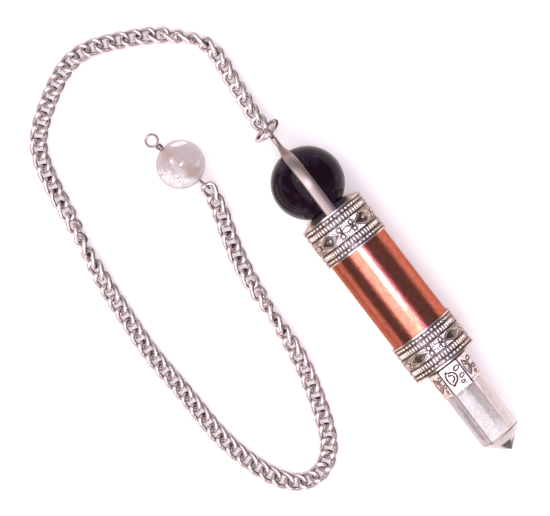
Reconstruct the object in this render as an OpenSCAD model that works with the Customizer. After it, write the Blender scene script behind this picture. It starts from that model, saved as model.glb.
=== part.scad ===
// Pendulum pendant lying on the plane z = 0. Its barrel points along +X, and lengths are in millimetres.
// A copper tube is held between two embossed caps. The upper cap carries a dark stone ball under a
// strap bail, and the lower cap holds a quartz point in a hexagonal socket. A curb chain leads from the
// bail's ring to a clear grip bead on an eye pin.

/* [Ball] */
// Diameter of the dark stone ball
ball_d = 14.5; // [12:0.1:16]

/* [Tube] */
// Outer diameter of the copper tube
tube_d = 12.7; // [11:0.1:14]
// Wall of the copper tube
tube_wall = 1; // [0.6:0.1:2]
// Length of tube that shows between the caps
tube_show = 20; // [12:0.5:32]

/* [Caps] */
// Plain wall of a cap's band, without its relief
cap_wall = 0.3; // [0.25:0.05:0.6]
// Height of the relief on the bands
relief_h = 0.2; // [0.1:0.05:0.3]
// Thickness of the floor that closes each cap
cap_floor = 1; // [0.8:0.1:1.6]
// Length of the upper cap's band
upper_band_l = 8.6; // [7.6:0.1:11]
// Length of the lower cap's band
lower_band_l = 7.9; // [7.6:0.1:11]
// Height of the cone above the upper cap's rim, where the ball sits
crown_h = 1; // [0.6:0.1:1.5]
// Width of the plain lip at each end of a band
lip_w = 0.35; // [0.2:0.05:0.6]
// Width of a row of milled dots
milled_w = 0.7; // [0.5:0.05:0.9]
// Width of a row of ribs
ribbed_w = 1.2; // [0.8:0.05:1.4]
// Width of the grooves between the rows
groove_w = 0.15; // [0.1:0.01:0.2]
// Dots in a milled row
milled_count = 46; // [30:1:60]
// Ribs in a ribbed row
rib_count = 60; // [40:1:80]
// Lozenges round a band's frieze
lozenge_count = 5; // [4:1:6]
// Part of each repeat of the frieze that a lozenge takes
lozenge_share = 0.6; // [0.5:0.05:0.7]
// Width of the raised frame round a lozenge
lozenge_frame = 0.35; // [0.2:0.05:0.5]
// Diameter of the paired dots in the frieze
dot_d = 0.8; // [0.6:0.05:1]

/* [Bail] */
// Width of the strap over the ball
strap_w = 2.3; // [1.6:0.1:3]
// Thickness of the strap
strap_t = 0.55; // [0.4:0.05:0.8]
// Width of the strap where it is pinched to an eye
neck_w = 1; // [0.8:0.05:1.3]
// Radius of the bend where the strap leaves the ball for the neck
flare_r = 4; // [3:0.1:6]
// Hole through the eye
eye_hole_d = 1.7; // [1.6:0.05:2.2]
// Wall of the eye round its hole
eye_t = 0.45; // [0.35:0.05:0.7]

/* [Ring] */
// Outer diameter of the jump ring
ring_d = 6; // [5.4:0.1:7]
// Wire of the jump ring
ring_wire = 0.85; // [0.7:0.05:1]
// Angle of the ring's plane above the floor
ring_lean = 72; // [60:1:80]
// Turn of the ring about the upright, away from square across the barrel
ring_yaw = 10; // [0:1:20]

/* [Point] */
// Width of the hexagonal socket across its corners
socket_w = 9.1; // [8:0.1:11]
// Wall of the socket
socket_t = 0.25; // [0.2:0.05:0.5]
// Length of the socket below its cap
socket_l = 6; // [4:0.1:8]
// Turn of the socket and the point about the barrel, off a level top face
point_roll = 5; // [0:1:15]
// Diameter of the raised ring on each face of the socket
socket_ring_d = 2.6; // [2:0.1:3]
// Wall of that raised ring
socket_ring_wall = 0.35; // [0.2:0.05:0.6]
// Length of the point's straight faces below the socket
prism_show = 11.9; // [6:0.1:20]
// Length of the point's six slanted facets
tip_l = 3.6; // [2:0.1:6]

/* [Chain] */
// Wire of the chain's links
chain_wire = 0.9; // [0.7:0.05:0.95]
// Inner length of a link
link_inner_l = 2.85; // [2.7:0.05:3.4]
// Outer width of a link
link_w = 3.6; // [3.4:0.05:4.2]
// Gap between the wires of two links where they cross
link_gap = 0.2; // [0.15:0.01:0.3]

/* [Grip] */
// Diameter of the clear grip bead
bead_d = 9.7; // [8:0.1:12]
// Hole drilled through the bead
bead_hole_d = 0.9; // [0.8:0.05:1.5]
// Wire of the eye pin
pin_wire = 0.5; // [0.4:0.05:0.6]
// Outer diameter of the open eye at the free end
free_eye_d = 2.9; // [2.4:0.1:4]
// Outer diameter of the eye that holds the chain
chain_eye_d = 2.6; // [2.5:0.1:3.4]
// Length of the wrapped neck between the bead and the open eye
neck_l = 1.4; // [1.2:0.1:3]
// Turns of wire wrapped round that neck
wrap_turns = 2; // [1:1:3]
// Slope of the eye pin down towards the chain
pin_slope = 14; // [8:1:18]

/* [Hidden] */
$fn = 64;

// Gap between pieces that are fitted together
fit_gap = 0.05;
// Overlap that makes soldered pieces one solid
solder = 0.1;
// Gap between the strap and the ball under it
strap_gap = 0.1;
// Gap between a link and the wire that it hangs on
hang_gap = 0.15;
// Length by which a cutting shape runs past what it cuts
past = 1;

// The barrel's centre line, level with the middle of the ball
barrel_y = 19.6;
ball_x = -7.9;

// Stations along the barrel, from the middle of the ball
ball_r = ball_d / 2;
seat_r = ball_r + 2 * fit_gap;
rim_x = ball_r;
crown_x = rim_x - crown_h;
crown_r = sqrt(seat_r * seat_r - crown_x * crown_x) + lip_w;
seat_steps = 8;
tube_start_x = rim_x + cap_floor + fit_gap;
lower_band_x = rim_x + upper_band_l + tube_show;
lower_end_x = lower_band_x + lower_band_l;
tube_end_x = lower_end_x - cap_floor - fit_gap;
socket_end_x = lower_end_x + socket_l;
shoulder_x = socket_end_x + prism_show;
tip_x = shoulder_x + tip_l;

// Radii of the caps
sleeve_r = tube_d / 2 + fit_gap;
root_r = sleeve_r + cap_wall;
band_r = root_r + relief_h;
// The grooves between the rows go a little deeper than the rows' own roots
groove_r = root_r - solder / 2;

// Parts of a tooth's spacing that it takes at its root and at its top
dot_shares = [0.9, 0.45];
rib_shares = [0.75, 0.45];
frieze_shares = [0.7, 0.4];

// The point fits the socket's inside
point_r = (socket_w / 2) - (socket_t + fit_gap) / cos(30);

// The strap's middle line: straight from the cap to the ball, round the ball, then out to the neck
strap_r = ball_r + strap_gap + strap_t / 2;
foot_sink = 0.7;
foot_x = rim_x + cap_floor * foot_sink;
foot_r = root_r - strap_t;
foot_reach = norm([foot_x, foot_r]);
leave_a = atan2(foot_r, foot_x) + acos(strap_r / foot_reach);
neck_r = strap_t / 2 - solder / 4;
flare_a = 180 - asin((flare_r + neck_r) / (strap_r + flare_r));
flare_x = (strap_r + flare_r) * cos(flare_a);
eye_r = eye_hole_d / 2 + eye_t;
eye_x = flare_x - eye_r;
neck_end_x = flare_x - eye_t / 2;
neck_start_x = (strap_r + flare_r / 3) * cos(flare_a);
narrow_x = -strap_r * 0.75;
strap_steps = 16;
flare_steps = 8;

// The barrel lies on the strap under the ball and on the lower cap's end lip, so it slopes
strap_outer_r = strap_r + strap_t / 2;
lie_a = asin(strap_outer_r / norm([lower_end_x, band_r])) - atan2(band_r, lower_end_x);

// The jump ring hangs through the eye, a little below the middle of its hole
ring_r = (ring_d - ring_wire) / 2;
ring_sag = 0.15;
eye_point = [ball_x + eye_x * cos(lie_a), barrel_y, strap_outer_r - eye_x * sin(lie_a)];
ring_up = [cos(ring_lean) * cos(ring_yaw), cos(ring_lean) * sin(ring_yaw), sin(ring_lean)];
ring_centre = eye_point - [0, 0, ring_sag] - ring_r * ring_up;
ring_foot = ring_centre - ring_r * ring_up;

// The grip bead lies on the floor with its pin at this heading
bead_at = [-25.9, 2.2];
pin_heading = 13;
bead_r = bead_d / 2;
free_eye_r = (free_eye_d - pin_wire) / 2;
chain_eye_r = (chain_eye_d - pin_wire) / 2;
free_eye_x = -bead_r - neck_l - free_eye_r;
chain_eye_x = bead_r + pin_wire / 2 + hang_gap + chain_eye_r;
// The wraps are pressed on to the pin and on to one another
wrap_r = pin_wire * 0.9;
wrap_pitch = pin_wire * 0.9;
pin_along = [cos(pin_slope) * cos(pin_heading), cos(pin_slope) * sin(pin_heading), -sin(pin_slope)];
chain_eye_far = [bead_at[0], bead_at[1], bead_r] + (chain_eye_x + chain_eye_r) * pin_along;

// Link of the chain: an oval whose two ends are twisted a right angle apart
link_a = (link_inner_l + chain_wire) / 2;
link_b = (link_w - chain_wire) / 2;
link_twist = 90;
// Below 1 the oval fills out towards a rounded rectangle
link_fullness = 0.7;
link_stations = 12;
wire_sides = 6;
link_pitch = link_inner_l - link_gap;
// Height that keeps the links with a changing roll off the floor
route_lift = 0.1;
// Half of the distance between the middle lines of two links that cross
joint_half = link_a - link_pitch / 2;

// The chain's route, chosen by hand: place along X and Y, height above its rest, and roll about its run
chain_route = [
    [-16.3, 3.2, 0.7, 30],
    [-13.3, 2.5, 0.2, 10],
    [-9.5, 1.2, 0, -5],
    [-5, 0, 0, -10],
    [-0.5, -0.8, 0, -25],
    [4, -1.2, 0, -60],
    [8.5, -1.6, 0, -95],
    [13, -1.9, 0, -125],
    [17.5, -2.4, 0, -155],
    [22, -3.3, 0, -178],
    [26.5, -4.6, 0, -180],
    [31, -6.1, 0, -180],
    [35, -8, 0, -180],
    [37.9, -11, 0, -180],
    [38.7, -14.9, 0, -180],
    [36.9, -18.4, 0, -180],
    [33.4, -20.8, 0, -180],
    [29.2, -22.4, 0, -180],
    [24.7, -23.6, 0, -180],
    [20, -24.3, 0, -180],
    [15, -24.5, 0, -180],
    [10, -24.6, 0, -180],
    [5, -24.9, 0, -180],
    [0, -25.1, 0, -180],
    [-5, -24.9, 0, -180],
    [-10, -24.5, 0, -185],
    [-15, -24.1, 0, -195],
    [-19.5, -23.5, 0, -220],
    [-24, -22.8, 0, -258],
    [-28.5, -21.9, 0, -296],
    [-33, -21.2, 0, -330],
    [-37.5, -20.5, 0, -355],
    [-42, -19.5, 0, -360],
    [-46, -17.9, 0, -360],
    [-49, -15, 0, -360],
    [-51.3, -11.6, 0, -360],
    [-53.4, -8.1, 0, -360],
    [-55, -4.4, 0, -360],
    [-55.5, -0.4, 0, -360],
    [-54.5, 3.5, 0, -360],
    [-52.8, 7.3, 0, -360],
    [-50.9, 11, 0, -368],
    [-48.7, 14.4, 0, -395],
    [-46, 17.3, 0, -432],
    [-43, 19.9, 0, -465],
    [-39.3, 20.9, 0, -490],
    [-35.5, 20.5, 0, -500],
    [-31.8, 20.1, 0, -500],
    [-28.2, 19.8, 0.3, -497],
    [-25.4, 19.4, 1, -495]
];
route_steps = 8;

// A point on the middle line of a link before its ends are twisted
function fuller(v) = sign(v) * pow(abs(v), link_fullness);
function oval(t) = [link_a * fuller(cos(t)), link_b * fuller(sin(t))];

// The link's corners, ring by ring, with its length along X and its ends twisted
link_points = [for (i = [0:link_stations - 1]) for (k = [0:wire_sides - 1])
    let (
        t = 360 * i / link_stations,
        f = 360 * k / wire_sides,
        p = oval(t),
        run = oval(t + 1) - oval(t - 1),
        out = [run[1], -run[0]] / norm(run),
        y = p[1] + chain_wire / 2 * cos(f) * out[1],
        z = chain_wire / 2 * sin(f),
        a = link_twist / 2 * p[0] / link_a
    )
        [p[0] + chain_wire / 2 * cos(f) * out[0], y * cos(a) - z * sin(a), y * sin(a) + z * cos(a)]
];

// Height of a link's middle above the floor when it lies with this roll
function resting(roll) = route_lift + max([for (p = link_points) p[1] * sin(roll) + p[2] * cos(roll)]);

// The route's ends follow from the eye that starts it and the ring that ends it. The first link's end
// lies level in the upright eye, and the last one's end stands upright round the ring's level foot
start_roll = 45;
end_roll = -495;
route_start = chain_eye_far - (pin_wire / 2 + chain_wire / 2 + hang_gap - joint_half) * pin_along;
last_row = chain_route[len(chain_route) - 1];
last_point = [last_row[0], last_row[1], last_row[2] + resting(last_row[3])];
ring_pull = (ring_foot - last_point) / norm(ring_foot - last_point);
route_end = ring_foot + (ring_wire / 2 + chain_wire / 2 + hang_gap - joint_half) * ring_pull;
route_rows = concat(
    [[route_start[0], route_start[1], route_start[2] - resting(start_roll), start_roll]],
    chain_route,
    [[route_end[0], route_end[1], route_end[2] - resting(end_roll), end_roll]]
);

// A smooth curve between rows b and c, where a and d are the rows on either side
function between(a, b, c, d, u) =
    b + (c - a) * u / 2
    + (2 * a - 5 * b + 4 * c - d) * u * u / 2
    + (3 * b - a - 3 * c + d) * u * u * u / 2;

// Closely spaced rows of place and roll along the whole route, with their real heights
row_end = len(route_rows) - 1;
route_fine = [for (i = [0:row_end - 1]) for (k = [0:i == row_end - 1 ? route_steps : route_steps - 1])
    let (row = between(route_rows[max(i - 1, 0)], route_rows[i], route_rows[i + 1],
        route_rows[min(i + 2, row_end)], k / route_steps))
        [row[0], row[1], row[2] + resting(row[3]), row[3]]
];
function place(row) = [row[0], row[1], row[2]];
fine_end = len(route_fine) - 1;
route_length = [
    for (i = 0, s = 0; i <= fine_end;
        s = s + (i < fine_end ? norm(place(route_fine[i + 1]) - place(route_fine[i])) : 0), i = i + 1) s
];

// Place and roll at a length along the route
function route_at(s) =
    [for (c = [0:3]) lookup(s, [for (i = [0:fine_end]) [route_length[i], route_fine[i][c]]])];

link_count = round(route_length[fine_end] / link_pitch);
link_step = route_length[fine_end] / link_count;
joints = [for (i = [0:link_count]) route_at(i * link_step)];

// Puts the barrel's own frame in place, with its middle line along X from the ball's middle
module on_barrel() {
    translate([ball_x, barrel_y, strap_outer_r])
        rotate([0, lie_a, 0])
            children();
}

// Turns a shape that stands on Z so that it stands on the barrel's line, from this station
module along_barrel(x) {
    translate([x, 0, 0])
        rotate([0, 90, 0])
            children();
}

// A plain ring about the barrel's line
module plain_ring(x, length, inner_r, outer_r) {
    along_barrel(x)
        difference() {
            cylinder(h = length, r = outer_r);
            translate([0, 0, -past])
                cylinder(h = length + 2 * past, r = inner_r);
        }
}

// A ring of raised teeth that take these shares of their spacing
module toothed_ring(x, length, count, shares) {
    step = 360 / count;
    tooth = [[-shares[0], root_r], [-shares[1], band_r], [shares[1], band_r], [shares[0], root_r]];
    along_barrel(x)
        linear_extrude(length)
            difference() {
                polygon([for (i = [0:count - 1]) for (c = tooth)
                    let (a = (i + c[0] / 2) * step) c[1] * [cos(a), sin(a)]]);
                circle(r = root_r - solder);
            }
}

// A lozenge of this half length and width, from inside the band past its relief, at this angle
module lozenge_block(x, angle, half) {
    along_barrel(x)
        rotate([0, 0, angle])
            translate([root_r / 2, 0, 0])
                rotate([0, 90, 0])
                    linear_extrude(root_r)
                        polygon([[half[1], 0], [0, half[0]], [-half[1], 0], [0, -half[0]]]);
}

// The frieze: framed lozenges, pairs of dots between them, and ribs that stop short of both
module frieze(x, length) {
    repeat_a = 360 / lozenge_count;
    half_l = band_r * sin(repeat_a * lozenge_share / 2);
    half_w = length / 2;
    mid_x = x + half_w;
    slant = sin(atan2(half_l, half_w));
    function grown(w) = [half_l, half_w] * (1 + w / slant / half_w);
    dome_r = (dot_d * dot_d / 4 + relief_h * relief_h) / (2 * relief_h);
    difference() {
        toothed_ring(x, length, rib_count, frieze_shares);
        for (i = [0:lozenge_count - 1]) {
            lozenge_block(mid_x, i * repeat_a, grown(groove_w));
            rotate([(i + 0.5) * repeat_a, 0, 0])
                translate([x - past, -dot_d, -band_r - past])
                    cube([length + 2 * past, dot_d * 2, 2 * past]);
        }
    }
    intersection() {
        plain_ring(x, length, root_r - solder, band_r);
        for (i = [0:lozenge_count - 1])
            difference() {
                lozenge_block(mid_x, i * repeat_a, grown(0));
                lozenge_block(mid_x, i * repeat_a, grown(-lozenge_frame));
            }
    }
    intersection() {
        plain_ring(x, length, root_r - solder, band_r + solder);
        for (i = [0:lozenge_count - 1])
            rotate([(i + 0.5) * repeat_a, 0, 0])
                for (side = [-1, 1])
                    translate([mid_x + side * length / 4, 0, dome_r - band_r])
                        sphere(r = dome_r);
    }
}

// Half of a band's rows, from one end inwards
module edge_rows(x, inwards) {
    milled_x = lip_w + groove_w;
    ribbed_x = milled_x + milled_w + groove_w;
    function row_x(reach, width) = inwards > 0 ? x + reach : x - reach - width;
    plain_ring(row_x(0, lip_w), lip_w, root_r - solder, band_r);
    toothed_ring(row_x(milled_x, milled_w), milled_w, milled_count, dot_shares);
    toothed_ring(row_x(ribbed_x, ribbed_w), ribbed_w, rib_count, rib_shares);
}

// A whole band: its sleeve, the rows at both ends and the frieze between them
module band(x, length) {
    frieze_x = lip_w + milled_w + ribbed_w + 3 * groove_w;
    plain_ring(x, length, sleeve_r, groove_r);
    edge_rows(x, 1);
    edge_rows(x + length, -1);
    frieze(x + frieze_x, length - 2 * frieze_x);
}

// Points along the strap's middle line, from its foot in the cap to the neck
strap_line = concat(
    [[foot_x, foot_r]],
    [for (i = [0:strap_steps]) let (a = leave_a + (flare_a - leave_a) * i / strap_steps)
        strap_r * [cos(a), sin(a)]],
    [for (i = [1:flare_steps]) let (a = flare_a - 180 + (90 - flare_a) * i / flare_steps)
        (strap_r + flare_r) * [cos(flare_a), sin(flare_a)] + flare_r * [cos(a), sin(a)]],
    [[neck_end_x, neck_r]]
);

// The strap's edge on one side of its middle line
function beside(line, side) = [
    for (i = [0:len(line) - 1])
        let (run = line[min(i + 1, len(line) - 1)] - line[max(i - 1, 0)])
            line[i] + side * strap_t / 2 * [-run[1], run[0]] / norm(run)
];
function mirrored(line) = [for (i = [len(line) - 1:-1:0]) [line[i][0], -line[i][1]]];

// The strap from the side: two legs that meet at the eye
module strap_side() {
    outside = beside(strap_line, -1);
    inner_edge = [for (p = beside(strap_line, 1)) if (p[1] > 0) p];
    inside = concat([[foot_x + past, foot_r - strap_t]], inner_edge);
    difference() {
        union() {
            polygon(concat(outside, mirrored(outside)));
            translate([eye_x, 0])
                circle(r = eye_r);
        }
        polygon(concat(inside, mirrored(inside)));
    }
}

// The strap from above: wide over the ball and narrow at the eye
module strap_plan() {
    edge = [
        [eye_x - eye_r - past, neck_w / 2],
        [neck_start_x, neck_w / 2],
        [narrow_x, strap_w / 2],
        [rim_x + cap_floor, strap_w / 2]
    ];
    polygon(concat(edge, mirrored(edge)));
}

module strap() {
    difference() {
        intersection() {
            rotate([90, 0, 0])
                translate([0, 0, -strap_w])
                    linear_extrude(2 * strap_w)
                        strap_side();
            translate([0, 0, -2 * ball_r])
                linear_extrude(4 * ball_r)
                    strap_plan();
        }
        translate([eye_x, strap_w, 0])
            rotate([90, 0, 0])
                cylinder(h = 2 * strap_w, d = eye_hole_d);
    }
}

// The upper cap's floor and its crown, turned as one, with a dished seat for the ball
module crown() {
    seat_a = acos(crown_x / seat_r);
    floor_r = root_r - cap_wall / 2;
    along_barrel(0)
        rotate_extrude()
            polygon(concat(
                [for (i = [0:seat_steps]) let (a = seat_a * i / seat_steps) seat_r * [sin(a), cos(a)]],
                [[crown_r, crown_x], [floor_r, rim_x]],
                [[floor_r, rim_x + cap_floor], [0, rim_x + cap_floor]]
            ));
}

module bail_cap() {
    color("silver")
        on_barrel() {
            band(rim_x, upper_band_l);
            crown();
            strap();
        }
}

module ball_stone() {
    color("indigo")
        on_barrel()
            sphere(r = ball_r);
}

module copper_tube() {
    color("peru")
        on_barrel()
            plain_ring(tube_start_x, tube_end_x - tube_start_x, tube_d / 2 - tube_wall, tube_d / 2);
}

// A hexagonal bar along the barrel's line, with one face up but for the point's roll
module hex_bar(x, length, corner_r) {
    rotate([point_roll, 0, 0])
        along_barrel(x)
            rotate([0, 0, 30])
                cylinder(h = length, r = corner_r, $fn = 6);
}

module socket_sleeve() {
    face_r = socket_w / 2 * cos(30);
    inner_d = socket_ring_d - 2 * socket_ring_wall;
    difference() {
        hex_bar(lower_end_x - solder, socket_l + solder, socket_w / 2);
        hex_bar(lower_end_x, socket_l + past, point_r + fit_gap / cos(30));
    }
    for (i = [0:5])
        rotate([point_roll + i * 60, 0, 0])
            translate([lower_end_x + socket_l / 2, 0, face_r - socket_t / 2])
                difference() {
                    cylinder(h = socket_t / 2 + relief_h / 2, d = socket_ring_d, $fn = 32);
                    translate([0, 0, -past])
                        cylinder(h = socket_t + 2 * past, d = inner_d, $fn = 32);
                }
}

module point_socket() {
    color("silver")
        on_barrel() {
            band(lower_band_x, lower_band_l);
            along_barrel(lower_end_x - cap_floor)
                cylinder(h = cap_floor, r = root_r - cap_wall / 2);
            socket_sleeve();
        }
}

// A hexagonal quartz point: six straight faces and six facets that meet at the tip
module crystal_point() {
    base_x = lower_end_x + fit_gap;
    corners = [for (i = [0:5]) point_r * [cos(i * 60), sin(i * 60)]];
    color("lavender")
        on_barrel()
            rotate([point_roll, 0, 0])
                polyhedron(
                    points = concat(
                        [for (c = corners) [base_x, c[0], c[1]]],
                        [for (c = corners) [shoulder_x, c[0], c[1]]],
                        [[tip_x, 0, 0]]
                    ),
                    faces = concat(
                        [[0, 1, 2, 3, 4, 5]],
                        [for (i = [0:5]) let (j = (i + 1) % 6) [i + 6, j + 6, j, i]],
                        [for (i = [0:5]) [12, (i + 1) % 6 + 6, i + 6]]
                    )
                );
}

module jump_ring() {
    color("silver")
        translate(ring_centre)
            rotate([0, 0, ring_yaw])
                rotate([0, 90 - ring_lean, 0])
                    rotate([0, 90, 0])
                        rotate_extrude()
                            translate([ring_r, 0])
                                circle(d = ring_wire, $fn = 32);
}

// One curb link with its length along X
module curb_link() {
    function corner(i, k) = (i % link_stations) * wire_sides + k % wire_sides;
    polyhedron(link_points, [for (i = [0:link_stations - 1]) for (k = [0:wire_sides - 1])
        each [
            [corner(i, k), corner(i, k + 1), corner(i + 1, k + 1)],
            [corner(i, k), corner(i + 1, k + 1), corner(i + 1, k)]
        ]
    ]);
}

module chain() {
    color("gainsboro")
        for (i = [0:link_count - 1]) {
            run = place(joints[i + 1]) - place(joints[i]);
            roll = (joints[i][3] + joints[i + 1][3]) / 2;
            translate((place(joints[i]) + place(joints[i + 1])) / 2)
                rotate([roll, -asin(run[2] / norm(run)), atan2(run[1], run[0])])
                    curb_link();
        }
}

// Puts the grip's own frame in place, with its pin along X from the bead's middle
module on_pin() {
    translate([bead_at[0], bead_at[1], bead_r])
        rotate([0, pin_slope, pin_heading])
            children();
}

// A round eye or wrap of the pin's wire
module wire_ring(radius) {
    rotate_extrude()
        translate([radius, 0])
            circle(d = pin_wire, $fn = 24);
}

module bead_wire() {
    start_x = free_eye_x + free_eye_r + solder;
    end_x = chain_eye_x - chain_eye_r - solder;
    color("silver")
        on_pin() {
            translate([free_eye_x, 0, 0])
                wire_ring(free_eye_r);
            translate([chain_eye_x, 0, 0])
                rotate([90, 0, 0])
                    wire_ring(chain_eye_r);
            along_barrel(start_x)
                cylinder(h = end_x - start_x, d = pin_wire, $fn = 24);
            for (i = [0:wrap_turns - 1])
                along_barrel(-bead_r - hang_gap - pin_wire / 2 - i * wrap_pitch)
                    wire_ring(wrap_r);
        }
}

// The bead is turned about its drilled hole
module grip_bead() {
    color("mistyrose")
        on_pin()
            along_barrel(0)
                rotate_extrude()
                    difference() {
                        circle(r = bead_r);
                        translate([-bead_r - past, -bead_r - past])
                            square([bead_r + past + bead_hole_d / 2, bead_d + 2 * past]);
                    }
}

bail_cap();
ball_stone();
copper_tube();
point_socket();
crystal_point();
jump_ring();
chain();
bead_wire();
grip_bead();
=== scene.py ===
import math

import bmesh
import bpy
import numpy as np
from mathutils import Matrix, Vector


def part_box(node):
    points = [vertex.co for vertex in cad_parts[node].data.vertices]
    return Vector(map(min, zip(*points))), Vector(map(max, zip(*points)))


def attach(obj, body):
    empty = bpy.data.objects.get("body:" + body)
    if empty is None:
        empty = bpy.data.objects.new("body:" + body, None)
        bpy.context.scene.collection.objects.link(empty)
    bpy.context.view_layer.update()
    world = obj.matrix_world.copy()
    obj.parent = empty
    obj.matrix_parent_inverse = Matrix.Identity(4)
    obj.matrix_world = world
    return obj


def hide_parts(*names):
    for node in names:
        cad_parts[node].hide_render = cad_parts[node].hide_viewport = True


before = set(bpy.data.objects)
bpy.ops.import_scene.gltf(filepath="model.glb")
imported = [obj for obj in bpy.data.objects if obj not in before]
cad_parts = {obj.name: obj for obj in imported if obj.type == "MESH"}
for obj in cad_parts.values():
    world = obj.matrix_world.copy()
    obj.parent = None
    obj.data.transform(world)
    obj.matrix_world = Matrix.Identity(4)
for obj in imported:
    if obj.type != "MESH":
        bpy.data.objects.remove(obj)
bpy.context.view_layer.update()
scene = bpy.context.scene
mm = 0.001  # every length below is in millimetres, and becomes metres where a mesh is made

# the two pieces that others are built round, and where each one lies
barrel = {"ballMiddle": (-7.9, 19.6, 7.9), "slopeDown": 1.311}
pin = {"beadMiddle": (-25.9, 2.2, 4.85), "slopeDown": 14, "heading": 13}
onBarrel = Matrix.Translation(barrel["ballMiddle"]) @ Matrix.Rotation(math.radians(barrel["slopeDown"]), 4, "Y")
onPin = (Matrix.Translation(pin["beadMiddle"]) @ Matrix.Rotation(math.radians(pin["heading"]), 4, "Z")
    @ Matrix.Rotation(math.radians(pin["slopeDown"]), 4, "Y"))


# helpers for node trees

def feed(tree, node, inputs):
    # links a socket to the input it is named for, or sets a plain value
    for name, value in inputs.items():
        if isinstance(value, bpy.types.NodeSocket):
            tree.links.new(value, node.inputs[name])
        else:
            node.inputs[name].default_value = value


def addNode(tree, kind, inputs=None, **settings):
    made = tree.nodes.new(kind)
    for name, value in settings.items():
        setattr(made, name, value)
    feed(tree, made, inputs or {})
    return made


def sums(tree, operation, first, second=0.0, third=0.0):
    return addNode(tree, "ShaderNodeMath", {0: first, 1: second, 2: third}, operation=operation).outputs[0]


def ramp(tree, factor, low, high, fromValue=0.0, toValue=1.0):
    return addNode(tree, "ShaderNodeMapRange", {"Value": factor, "From Min": low, "From Max": high,
        "To Min": fromValue, "To Max": toValue}, interpolation_type="SMOOTHSTEP").outputs["Result"]


def rampRound(tree, factor, middle, half):
    return ramp(tree, factor, sums(tree, "SUBTRACT", middle, half), sums(tree, "ADD", middle, half))


def blend(tree, factor, first, second, mode="MIX"):
    return addNode(tree, "ShaderNodeMix", {0: factor, 6: first, 7: second}, data_type="RGBA",
        blend_type=mode).outputs[2]


def noise(tree, place, size, inputs):
    scale = sums(tree, "DIVIDE", 1.0, size)
    return addNode(tree, "ShaderNodeTexNoise", {"Vector": place, "Scale": scale, **inputs}).outputs["Fac"]


def stored(tree, name):
    # a value that the piece's mesh carries
    return addNode(tree, "ShaderNodeAttribute", attribute_name=name).outputs["Fac"]


def split(tree, vector, axis):
    return addNode(tree, "ShaderNodeSeparateXYZ", {0: vector}).outputs[axis]


def newGroup(name, kind, inputs, outputs):
    # a word is a socket's kind, and a number or a colour is its value and shows its kind
    tree = bpy.data.node_groups.new(name, kind)
    for direction, sockets in (("INPUT", inputs), ("OUTPUT", outputs)):
        for label, value in sockets.items():
            word = value if isinstance(value, str) else {int: "Int", float: "Float", tuple: "Color"}[type(value)]
            socket = tree.interface.new_socket(label, in_out=direction, socket_type="NodeSocket" + word)
            if word != value:
                socket.default_value = value
    return tree, tree.nodes.new("NodeGroupInput").outputs, tree.nodes.new("NodeGroupOutput")


def newMaterial(name):
    material = bpy.data.materials.new(name)
    material.use_nodes = True
    tree = material.node_tree
    return material, tree, tree.nodes["Principled BSDF"]


def objectPlace(tree, turn=(0, 0, 0), shift=(0, 0, 0)):
    # object coordinates in millimetres
    place = addNode(tree, "ShaderNodeTexCoord").outputs["Object"]
    return addNode(tree, "ShaderNodeMapping", {"Vector": place, "Location": shift, "Rotation": turn,
        "Scale": [1 / mm] * 3}).outputs["Vector"]


# shader groups that more than one material uses

def makeTarnishAndShadeGroup():
    # metal that is bright on high places and dark in patches and low in the relief; the relief also carries painted
    # shade on the wires and in the socket
    tree, given, out = newGroup("tarnish", "ShaderNodeTree", {
        "Place": "Vector", "Relief": 1.0, "Bright": (0.8, 0.78, 0.77, 1), "Dark": (0.1, 0.06, 0.05, 1),
        "Amount": 0.5, "Patch Size": 0.8, "Bright Roughness": 0.2, "Dark Roughness": 0.5,
    }, {"Color": "Color", "Roughness": "Float", "Clean": "Float"})
    patches = noise(tree, given["Place"], given["Patch Size"], {"Detail": 4.0, "Roughness": 0.62})
    level = sums(tree, "ADD", given["Relief"], sums(tree, "MULTIPLY_ADD", patches, 0.9, -0.45))
    clean = rampRound(tree, level, given["Amount"], 0.22)
    warm = blend(tree, ramp(tree, patches, 0.35, 0.7), (1.0, 0.97, 0.93, 1), (0.97, 0.95, 1.0, 1))
    bright = blend(tree, 1.0, given["Bright"], warm, "MULTIPLY")
    rough = addNode(tree, "ShaderNodeMix", {0: clean, 2: given["Dark Roughness"], 3: given["Bright Roughness"]},
        data_type="FLOAT").outputs[0]
    feed(tree, out, {"Color": blend(tree, clean, given["Dark"], bright), "Roughness": rough, "Clean": clean})
    return tree


def makeHandlingGroup():
    # the fine scratches, pits and dullness that handling leaves on polished metal and stone
    tree, given, out = newGroup("handling", "ShaderNodeTree", {
        "Place": "Vector", "Scratch Size": 0.12, "Smear Size": 2.5, "Roughness": 0.2, "Smear": 0.08,
    }, {"Height": "Float", "Roughness": "Float"})
    scratches = noise(tree, given["Place"], given["Scratch Size"], {"Detail": 5.0, "Roughness": 0.7})
    smears = noise(tree, given["Place"], given["Smear Size"], {"Detail": 3.0})
    swing = ramp(tree, smears, 0.3, 0.7, -1.0, 1.0)
    rough = sums(tree, "MULTIPLY_ADD", swing, given["Smear"], given["Roughness"])
    feed(tree, out, {"Height": scratches, "Roughness": sums(tree, "MAXIMUM", rough, 0.01)})
    return tree


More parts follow.
